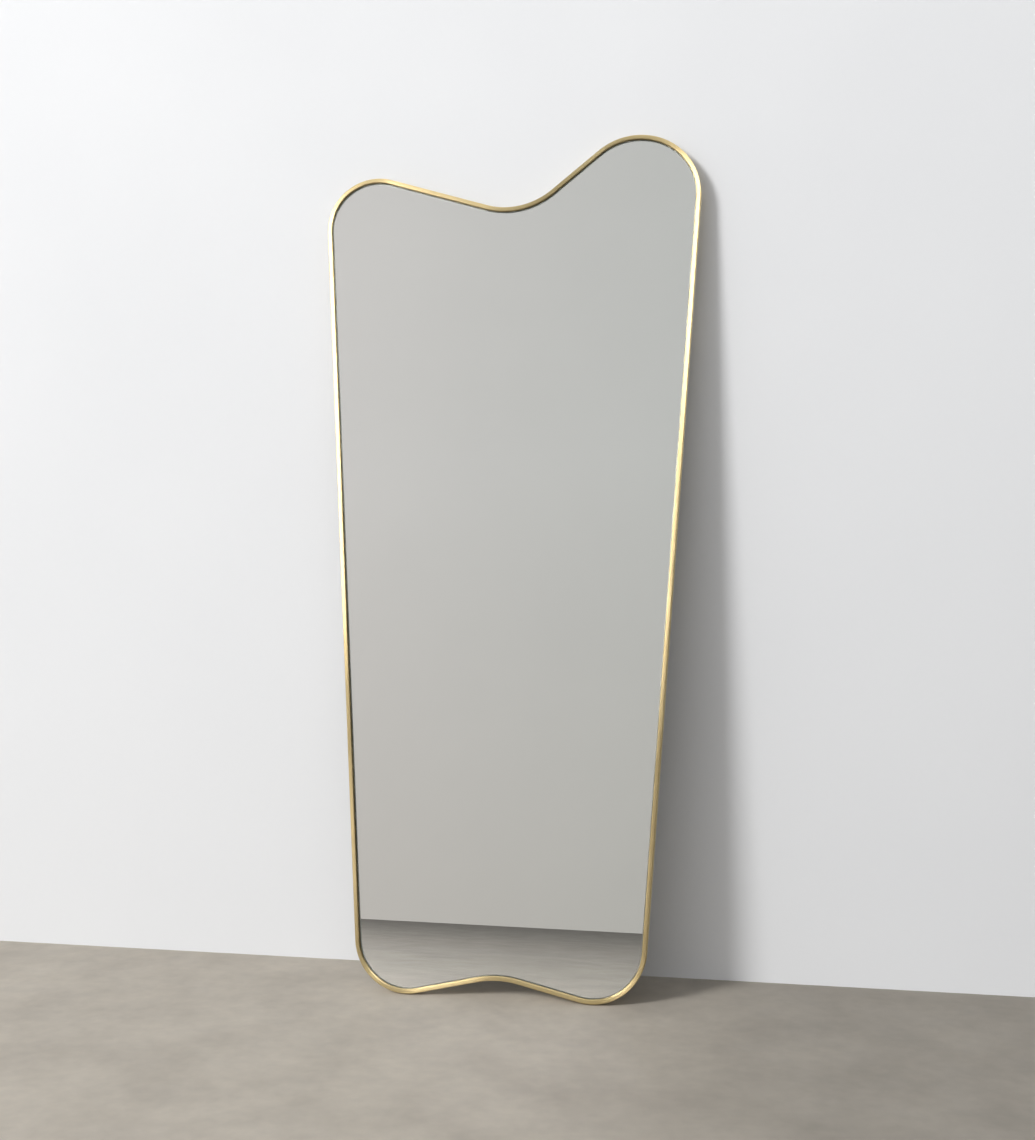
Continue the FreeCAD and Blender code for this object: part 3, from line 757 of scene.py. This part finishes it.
def make_wire():
    inputs = [GEOMETRY, ("Wire Radius", FLOAT), FINISH]
    tree, given, result = new_tree("ring_wire", "GeometryNodeTree", inputs, [GEOMETRY])
    path = add_node(tree, "GeometryNodeMeshToCurve", {"Mesh": given["Geometry"]})
    section = add_node(tree, "GeometryNodeCurvePrimitiveCircle",
                       {"Resolution": 24, "Radius": given["Wire Radius"]})
    wire = add_node(tree, "GeometryNodeCurveToMesh",
                    {"Curve": path.outputs["Curve"], "Profile Curve": section.outputs["Curve"]})
    smooth = add_node(tree, "GeometryNodeSetShadeSmooth", {"Geometry": wire.outputs["Mesh"]})
    return end_tree(tree, smooth.outputs["Geometry"], given, result)


def ring_path(axis):
    # anticlockwise from the middle of the bar, hanging straight down from its axis
    low = -RING_CORNER - RING_LEG
    inner = RING_HALF - RING_CORNER
    points = [(0.0, 0.0)]
    for centre, radius, first, last, steps in (
            ((-inner, -RING_CORNER), RING_CORNER, 90, 180, CORNER_STEPS),
            ((0.0, low), RING_HALF, 180, 360, BOW_STEPS),
            ((inner, -RING_CORNER), RING_CORNER, 0, 90, CORNER_STEPS)):
        for k in range(steps + 1):
            angle = math.radians(first + (last - first) * k / steps)
            across = centre[0] + radius * math.cos(angle)
            points.append((across, centre[1] + radius * math.sin(angle)))
    return loop_drawing("ring_path", [(axis.x + u, axis.y, axis.z + v) for u, v in points])


wire_tree = make_wire()
for joint in frame["joints"]:
    side = joint["name"].rsplit("_", 1)[1]
    ring = bake("round_ring_" + side, ring_path(Vector(joint["pos_m"])), wire_tree,
                {"Wire Radius": WIRE_RADIUS, "Finish": NICKEL})
    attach(ring, "ring_" + side)
    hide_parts("d_ring_" + side)

# %% [markdown]
# ## Screws
# Four pan-head screws hold the straps. A screw head is a turned dome with a cross stamped into it.
# It is turned once, the cross is cut with a Boolean, and Geometry Nodes set a copy on each
# seat, each turned by a seeded random angle, as screws driven by hand end up.

# %% Turn one screw
HEAD_RADIUS, HEAD_RISE, HEAD_SKIRT, HEAD_EDGE = 0.0035, 0.0022, 0.45, 0.0003
SHANK_RADIUS, SHANK_LENGTH = 0.0017, 0.0060
TIP_SHARE, TIP_END, TIP_START = 0.5, 0.0006, 0.0016
CROSS_LONG, CROSS_WIDE, CROSS_DEEP, CROSS_TAPER = 0.0038, 0.0010, 0.0013, 0.6
CLEAR = 0.001
TURNED_SIDES, ARC_STEP = 40, 15
SCREW_CREASE = math.radians(35.0)


def screw_mesh():
    dome = [(HEAD_RADIUS * math.cos(t), HEAD_RISE * (HEAD_SKIRT + (1 - HEAD_SKIRT) * math.sin(t)))
            for t in (math.radians(angle) for angle in range(0, 90, ARC_STEP))]
    profile = [(0, -SHANK_LENGTH), (SHANK_RADIUS * TIP_SHARE, -SHANK_LENGTH + TIP_END),
               (SHANK_RADIUS, -SHANK_LENGTH + TIP_START), (SHANK_RADIUS, 0),
               (HEAD_RADIUS - HEAD_EDGE, 0), (HEAD_RADIUS, HEAD_EDGE)] + dome + [(0, HEAD_RISE)]
    return mesh_from(lathe(profile, TURNED_SIDES), "screw_head")


def cross_mesh():
    # a plus-shaped punch that narrows towards its end
    far, near = CROSS_LONG / 2, CROSS_WIDE / 2
    quarter = [(far, near), (near, near), (near, far)]
    ring = []
    for _ in range(4):
        ring += quarter
        quarter = [(-z, x) for x, z in quarter]
    drawing = bmesh.new()
    bottom = HEAD_RISE - CROSS_DEEP
    low = [drawing.verts.new((x * CROSS_TAPER, bottom, z * CROSS_TAPER)) for x, z in ring]
    high = [drawing.verts.new((x, HEAD_RISE + CLEAR, z)) for x, z in ring]
    drawing.faces.new(low)
    drawing.faces.new(reversed(high))
    for i in range(len(ring)):
        drawing.faces.new((low[i - 1], high[i - 1], high[i], low[i]))
    bmesh.ops.recalc_face_normals(drawing, faces=drawing.faces)
    return mesh_from(drawing, "cross")


def crease(mesh, angle):
    # smooth faces, with a hard line where two of them meet at more than this angle
    for face in mesh.polygons:
        face.use_smooth = True
    mesh.set_sharp_from_angle(angle=angle)


one_screw = show("one_screw", screw_mesh())
cut(one_screw, cross_mesh())
crease(one_screw.data, SCREW_CREASE)
print("screw faces with its cross:", len(one_screw.data.polygons))

# %% Set the screw on four seats
STRAP_THICK, FIRST_HOLE, HOLE_PITCH, HOLE_COUNT = 0.0015, 0.03275, 0.020, 2


def make_seated():
    inputs = [GEOMETRY, ("Piece", "NodeSocketObject"), ("Lean", FLOAT), FINISH]
    tree, given, result = new_tree("pieces_on_seats", "GeometryNodeTree", inputs, [GEOMETRY])
    seats = add_node(tree, "GeometryNodeMeshToPoints", {"Mesh": given["Geometry"]})
    copied = add_node(tree, "GeometryNodeObjectInfo", {"Object": given["Piece"]})
    driven = add_node(tree, "FunctionNodeRandomValue", {2: 0.0, 3: 2 * math.pi, "Seed": 7},
                      data_type="FLOAT")
    spin = add_node(tree, "ShaderNodeCombineXYZ", {"Y": driven.outputs[1]})
    tilt = add_node(tree, "ShaderNodeCombineXYZ", {"X": given["Lean"]})
    turned = add_node(tree, "FunctionNodeRotateRotation",
                      {"Rotation": tilt.outputs["Vector"], "Rotate By": spin.outputs["Vector"]},
                      rotation_space="LOCAL")
    placed = add_node(tree, "GeometryNodeInstanceOnPoints",
                      {"Points": seats.outputs["Points"], "Instance": copied.outputs["Geometry"],
                       "Rotation": turned.outputs["Rotation"]})
    return end_tree(tree, placed.outputs["Instances"], given, result)


def seat_points(name, spots):
    mesh = bpy.data.meshes.new(name)
    mesh.from_pydata([LEANING @ Vector(spot) for spot in spots], [], [])
    return mesh


to_upright = LEANING.inverted()
screw_spots = []
for joint in frame["joints"]:
    axis = to_upright @ Vector(joint["pos_m"])
    for hole in range(HOLE_COUNT):
        level = axis.z - FIRST_HOLE - hole * HOLE_PITCH
        screw_spots.append((axis.x, BOARD_REAR + STRAP_THICK, level))
seated = make_seated()
screws = bake("pan_head_screws", seat_points("screw_seats", screw_spots), seated,
              {"Piece": one_screw, "Lean": -lean, "Finish": NICKEL})
bpy.data.objects.remove(one_screw)
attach(screws, "mirror")
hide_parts("hanger_screws")

# %% [markdown]
# ## Bumpers
# Four small rubber discs keep the brass off the wall. Each is a moulded disc with a rounded
# edge. One is turned on a lathe and the tree of the screws sets it on the four places that the
# record gives for them, so the bumpers are one piece.

# %% Mould one bumper and set it on four seats
BUMPER_RADIUS, BUMPER_THICK, BUMPER_EDGE = 0.0030, 0.0025, 0.0008
BUMPER_CREASE = math.radians(50.0)


def bumper_mesh():
    flat = BUMPER_RADIUS - BUMPER_EDGE
    level = BUMPER_THICK - BUMPER_EDGE
    bend = [(flat + BUMPER_EDGE * math.cos(t), level + BUMPER_EDGE * math.sin(t))
            for t in (math.radians(angle) for angle in range(0, 91, ARC_STEP))]
    profile = [(0, 0), (BUMPER_RADIUS, 0)] + bend + [(0, BUMPER_THICK)]
    return mesh_from(lathe(profile, TURNED_SIDES), "one_bumper")


one_bumper = show("one_bumper", bumper_mesh())
crease(one_bumper.data, BUMPER_CREASE)
bumper_spots = []
for name, mount in mounts.items():
    if name.startswith("wall_bumper_"):
        contact = to_upright @ Vector(mount["pos_m"])
        bumper_spots.append((contact.x, DEPTH, contact.z))
bumpers = bake("rubber_bumpers", seat_points("bumper_seats", bumper_spots), seated,
               {"Piece": one_bumper, "Lean": -lean, "Finish": RUBBER})
bpy.data.objects.remove(one_bumper)
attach(bumpers, "mirror")
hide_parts("bumper_1", "bumper_2", "bumper_3", "bumper_4")

# %% [markdown]
# ## Floor and wall
# The mirror stands on a smooth warm grey floor and leans on a white wall. The floor has the clouds
# and the finer flecks of trowelled concrete. Its colour also holds painted shade: it is darker to
# the right, away from the light, and, for every ray but the camera's, so in reflections too, darker
# towards the far wall, where the room is dim. The wall has only a front: from behind it is clear,
# and it casts no shadow and bounces no light, so that the back of the mirror can be looked at too.

# %% Helpers: numbers in a shader tree
WHITE = (1, 1, 1, 1)
SOFT = {"interpolation_type": "SMOOTHSTEP"}


def calc(tree, operation, first, second):
    feeds = {0: first, 1: second}
    return add_node(tree, "ShaderNodeMath", feeds, operation=operation).outputs["Value"]


def mix_levels(tree, factor, first, second):
    return add_node(tree, "ShaderNodeMix", {0: factor, 2: first, 3: second}).outputs[0]


def coordinates(tree, vector):
    return add_node(tree, "ShaderNodeSeparateXYZ", {"Vector": vector}).outputs


# %% Floor and wall finishes
# painted shade on the floor: darker to the right, and, for every ray but the camera's, towards the far wall
LIGHT_X, DARK_X, DARK_SHARE = 0.0, 0.8, 0.64
FLOOR_FAR, FLOOR_NEAR, FALL_POWER = -3.9, -0.2, 1.7
FAR_SHARE, NEAR_SHARE = 0.11, 0.86


def floor_finish():
    material, tree, shader, spot = finish(
        "warm_grey_floor", (0.75, 0.680, 0.578), (0.605, 0.546, 0.464), mottle_scale=5.0,
        roughness=(0.5, 0.62))
    place = coordinates(tree, spot["Object"])
    # painted shade: the floor's colour is darkened towards the right, away from the light
    painted_side_shade = ramp(tree, place["X"], LIGHT_X, DARK_X, 1.0, DARK_SHARE, **SOFT)
    # painted shade: for every ray but the camera's, the colour darkens towards the far wall, where the room is dim
    near = calc(tree, "POWER", ramp(tree, place["Y"], FLOOR_FAR, FLOOR_NEAR), FALL_POWER)
    painted_far_shade = ramp(tree, near, 0.0, 1.0, FAR_SHARE, NEAR_SHARE)
    ray = tree.nodes.new("ShaderNodeLightPath").outputs
    seen = mix_levels(tree, ray["Is Camera Ray"], painted_far_shade, 1.0)
    flecks = mottle(tree, spot, scale=30.0, low=0.955, high=1.045)
    shade = calc(tree, "MULTIPLY", calc(tree, "MULTIPLY", painted_side_shade, seen), flecks)
    base = shader.inputs["Base Color"].links[0].from_socket
    dimmed = add_node(tree, "ShaderNodeVectorMath", {0: base, "Scale": shade}, operation="SCALE")
    tree.links.new(dimmed.outputs["Vector"], shader.inputs["Base Color"])
    add_grit(tree, shader, spot, scale=90.0, strength=0.05, distance=0.0005)
    return material


def wall_finish():
    material, tree, shader, _ = finish(
        "white_wall", (0.86, 0.862, 0.865), (0.84, 0.842, 0.847), mottle_scale=1.3,
        roughness=(0.8, 0.9))
    behind = tree.nodes.new("ShaderNodeNewGeometry").outputs["Backfacing"]
    clear = tree.nodes.new("ShaderNodeBsdfTransparent").outputs["BSDF"]
    mix = add_node(tree, "ShaderNodeMixShader", {0: behind, 1: shader.outputs["BSDF"], 2: clear})
    tree.links.new(mix.outputs["Shader"], tree.nodes["Material Output"].inputs["Surface"])
    return material


FLOOR_GREY = floor_finish()
WALL_WHITE = wall_finish()
print("finishes of the room:", FLOOR_GREY.name, WALL_WHITE.name)

# %% Build the floor and the wall behind
ROOM, WALL_HEIGHT, WALL_GAP = 6.0, 3.2, 0.0003
WALL_Y = cad_box[1][1] + WALL_GAP


def flat_piece(name, corners, material):
    mesh = bpy.data.meshes.new(name)
    mesh.from_pydata(corners, [], [(0, 1, 2, 3)])
    mesh.materials.append(material)
    piece = show(name, mesh)
    piece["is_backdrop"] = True
    return piece


flat_piece("floor", [(-ROOM, -ROOM, 0), (ROOM, -ROOM, 0), (ROOM, ROOM, 0), (-ROOM, ROOM, 0)],
           FLOOR_GREY)
wall = flat_piece("wall", [(-ROOM, WALL_Y, 0), (ROOM, WALL_Y, 0), (ROOM, WALL_Y, WALL_HEIGHT),
                           (-ROOM, WALL_Y, WALL_HEIGHT)], WALL_WHITE)
wall.visible_shadow = False
wall.visible_diffuse = False

# %% [markdown]
# ## What the mirror sees
# A mirror looks like what stands opposite. Here that is the far wall of the room, a plain pale
# surface that meets the floor in a level line. Its glow holds painted light and shade: it is lighter
# on one side, and painted shade darkens its foot. Beside the part that the glass shows to the camera
# it has a tall glowing window on each side and a low one on the left, and around the window on the
# right it is dim. Brushed brass spreads a reflection sideways, so the upper sides of the rim pick up
# the tall windows and shine white. All this is there to be seen in metal and glass only. So it glows
# by itself, casts no shadow, is hidden from the camera, and sends no patches of light by way of the
# mirror to the floor and the wall.

# %% Paint the far wall
# painted light and shade of the glowing far wall: a lit side, a shaded side and a darker foot
LIT_TONE, SHADED_TONE = (0.71, 0.685, 0.67), (0.572, 0.575, 0.56)
LIT_X, SHADED_X = -2.2, 0.2
FOOT_SHADE_TONE, FOOT_RISE = (0.86, 0.835, 0.805), 2.4
DIM_START, DIM_FULL, DIM_SHARE = 0.25, 0.9, 0.06
LEFT_WINDOW = ((-3.9, -2.3), (1.62, 4.8), 21.0)
RIGHT_WINDOW = ((1.0, 2.4), (2.65, 4.8), 16.0)
LOW_WINDOW = ((-3.2, -2.1), (-0.5, 0.45), 6.5)
WINDOW_SOFT = 0.35


def add_window(tree, place, level, across, up, glow):
    # a bright rectangle with soft sides, added to the level of the wall
    for axis, (low, high) in (("X", across), ("Z", up)):
        for bound, outwards in ((low, -WINDOW_SOFT), (high, WINDOW_SOFT)):
            side = ramp(tree, place[axis], bound + outwards, bound, **SOFT)
            glow = calc(tree, "MULTIPLY", side, glow)
    return calc(tree, "ADD", level, glow)


def unbounced(tree):
    # 1 for what is seen in metal or glass, 0 for the light they would throw on a matt surface
    bounces = tree.nodes.new("ShaderNodeLightPath").outputs["Diffuse Depth"]
    return calc(tree, "LESS_THAN", bounces, 0.5)


def far_finish():
    material = bpy.data.materials.new("far_wall")
    material.use_nodes = True
    tree = material.node_tree
    tree.nodes.clear()
    spot = tree.nodes.new("ShaderNodeTexCoord").outputs
    place = coordinates(tree, spot["Object"])
    side = ramp(tree, place["X"], LIT_X, SHADED_X)
    tone = mix_colours(tree, side, (*LIT_TONE, 1), (*SHADED_TONE, 1))
    # painted shade: the glow gets darker towards the foot of the wall
    foot = mix_colours(tree, ramp(tree, place["Z"], 0.0, FOOT_RISE), (*FOOT_SHADE_TONE, 1), WHITE)
    paint = mix_colours(tree, 1.0, tone, foot, blend_type="MULTIPLY")
    cloud = mottle(tree, spot, scale=0.8, low=0.985, high=1.015)
    dim = ramp(tree, place["X"], DIM_START, DIM_FULL, 1.0, DIM_SHARE, **SOFT)
    level = calc(tree, "MULTIPLY", cloud, dim)
    for window in (LEFT_WINDOW, RIGHT_WINDOW, LOW_WINDOW):
        level = add_window(tree, place, level, *window)
    strength = calc(tree, "MULTIPLY", level, unbounced(tree))
    glow = add_node(tree, "ShaderNodeEmission", {"Color": paint, "Strength": strength})
    end = tree.nodes.new("ShaderNodeOutputMaterial")
    tree.links.new(glow.outputs["Emission"], end.inputs["Surface"])
    return material


FAR_PAINT = far_finish()
print("finish:", FAR_PAINT.name, "nodes:", len(FAR_PAINT.node_tree.nodes))

# %% Stand the far wall up for the reflections
FAR_SPOT = Vector((-0.64, -3.763, 0.0))
FAR_TURN = math.radians(5.4)
FAR_HALF, FAR_HEIGHT = 5.0, 6.0


def far_corner(across, up):
    return FAR_SPOT + Vector((across * math.cos(FAR_TURN), across * math.sin(FAR_TURN), up))


far_wall = flat_piece("far_wall", [far_corner(FAR_HALF, 0), far_corner(-FAR_HALF, 0),
                                   far_corner(-FAR_HALF, FAR_HEIGHT),
                                   far_corner(FAR_HALF, FAR_HEIGHT)], FAR_PAINT)
far_wall.visible_camera = False
far_wall.visible_diffuse = False
far_wall.visible_shadow = False

# %% [markdown]
# ## Light
# Soft light comes from the front left, and one large lamp on that side makes the shadow on the
# wall to the right. The world shows white to the camera. In metal and glass it shows a room that is
# bright overhead and, lower down, lighter on the left than on the right. It lights all other
# surfaces with a calm glow that is strongest from the front left. The large lamp isn't seen in
# metal, where the windows take its place. A second lamp behind the wall lights only the pieces of
# the mirror, to show its back.

# %% Set the world
BESIDE, IN_FRONT, AMBIENT_TURN = 0.05, 1.13, math.radians(35.0)
METAL_START, METAL_END, METAL_LEFT, METAL_RIGHT = -0.8, 0.3, 0.40, 0.10
CEILING_LOW, CEILING_HIGH = 0.4, 0.7
ABOVE_START, ABOVE_END, ABOVE_LEFT, ABOVE_RIGHT = -0.5, -0.1, 0.25, 1.5
DAYLIGHT = (0.985, 0.995, 1.01)


def studio_world():
    world = bpy.data.worlds.new("studio")
    bpy.context.scene.world = world
    world.use_nodes = True
    tree = world.node_tree
    tree.nodes.clear()
    ray = tree.nodes.new("ShaderNodeLightPath").outputs
    shiny = calc(tree, "MAXIMUM", ray["Is Glossy Ray"], ray["Is Transmission Ray"])
    in_metal = calc(tree, "MULTIPLY", shiny, unbounced(tree))
    aim = tree.nodes.new("ShaderNodeTexCoord").outputs["Generated"]
    parts = coordinates(tree, aim)
    fill = Vector((-math.sin(AMBIENT_TURN), -math.cos(AMBIENT_TURN), 0.0))
    towards = add_node(tree, "ShaderNodeVectorMath", {0: aim, 1: fill}, operation="DOT_PRODUCT")
    ambient = ramp(tree, towards.outputs["Value"], 0.0, 1.0, BESIDE, IN_FRONT)
    across = ramp(tree, parts["X"], METAL_START, METAL_END, METAL_LEFT, METAL_RIGHT)
    ceiling = ramp(tree, parts["X"], ABOVE_START, ABOVE_END, ABOVE_LEFT, ABOVE_RIGHT)
    metal = mix_levels(tree, ramp(tree, parts["Z"], CEILING_LOW, CEILING_HIGH), across, ceiling)
    room = mix_levels(tree, in_metal, ambient, metal)
    level = mix_levels(tree, ray["Is Camera Ray"], room, 1.0)
    tint = mix_colours(tree, ray["Is Camera Ray"], (*DAYLIGHT, 1), WHITE)
    sky = add_node(tree, "ShaderNodeBackground", {"Color": tint, "Strength": level})
    end = tree.nodes.new("ShaderNodeOutputWorld")
    tree.links.new(sky.outputs["Background"], end.inputs["Surface"])
    print("world:", world.name, "nodes:", len(tree.nodes))


studio_world()

# %% Hang the two lamps
def lamp(name, spot, target, size, power):
    light = bpy.data.lights.new(name, "AREA")
    light.shape = "DISK"
    light.size = size
    light.energy = power
    light.color = DAYLIGHT
    holder = bpy.data.objects.new(name, light)
    holder.location = spot
    holder.rotation_euler = (Vector(target) - Vector(spot)).to_track_quat("-Z", "Y").to_euler()
    holder.visible_camera = False
    bpy.context.scene.collection.objects.link(holder)
    return holder


key = lamp("key_lamp", spot=(-8.4, -9.4, 6.9), target=(0, 0.1, 0.9), size=3.4, power=1250)
key.visible_glossy = False
rear = lamp("rear_lamp", spot=(0.6, 2.4, 2.2), target=(0, 0.1, 1.0), size=2.0, power=60)
only_mirror = bpy.data.collections.new("mirror_pieces")
for piece in [p for p in bpy.data.objects if p.type == "MESH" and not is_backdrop(p)]:
    only_mirror.objects.link(piece)
rear.light_linking.receiver_collection = only_mirror
print("lamps:", key.name, rear.name)

# %% [markdown]
# ## Camera
# The photograph looks slightly from the right, from the height of the waist, and upright lines stay
# upright in it. So the camera stands level and is turned a little, and its place and lens were
# worked out from the known height of the mirror and the places of its corners in the picture.

# %% Place the camera
CAMERA_SPOT, CAMERA_TURN = (0.5918, -2.9267, 0.9306), math.radians(10.65)
SENSOR_WIDTH, LENS = 36.0, 47.66

camera_data = bpy.data.cameras.new("camera")
camera_data.sensor_fit = "HORIZONTAL"
camera_data.sensor_width = SENSOR_WIDTH
camera_data.lens = LENS
camera = bpy.data.objects.new("camera", camera_data)
camera.location = CAMERA_SPOT
camera.rotation_euler = (math.pi / 2, 0.0, CAMERA_TURN)
bpy.context.scene.collection.objects.link(camera)
bpy.context.scene.camera = camera
bpy.context.scene.view_settings.view_transform = "Standard"
print("camera at", [round(v, 3) for v in camera.location])
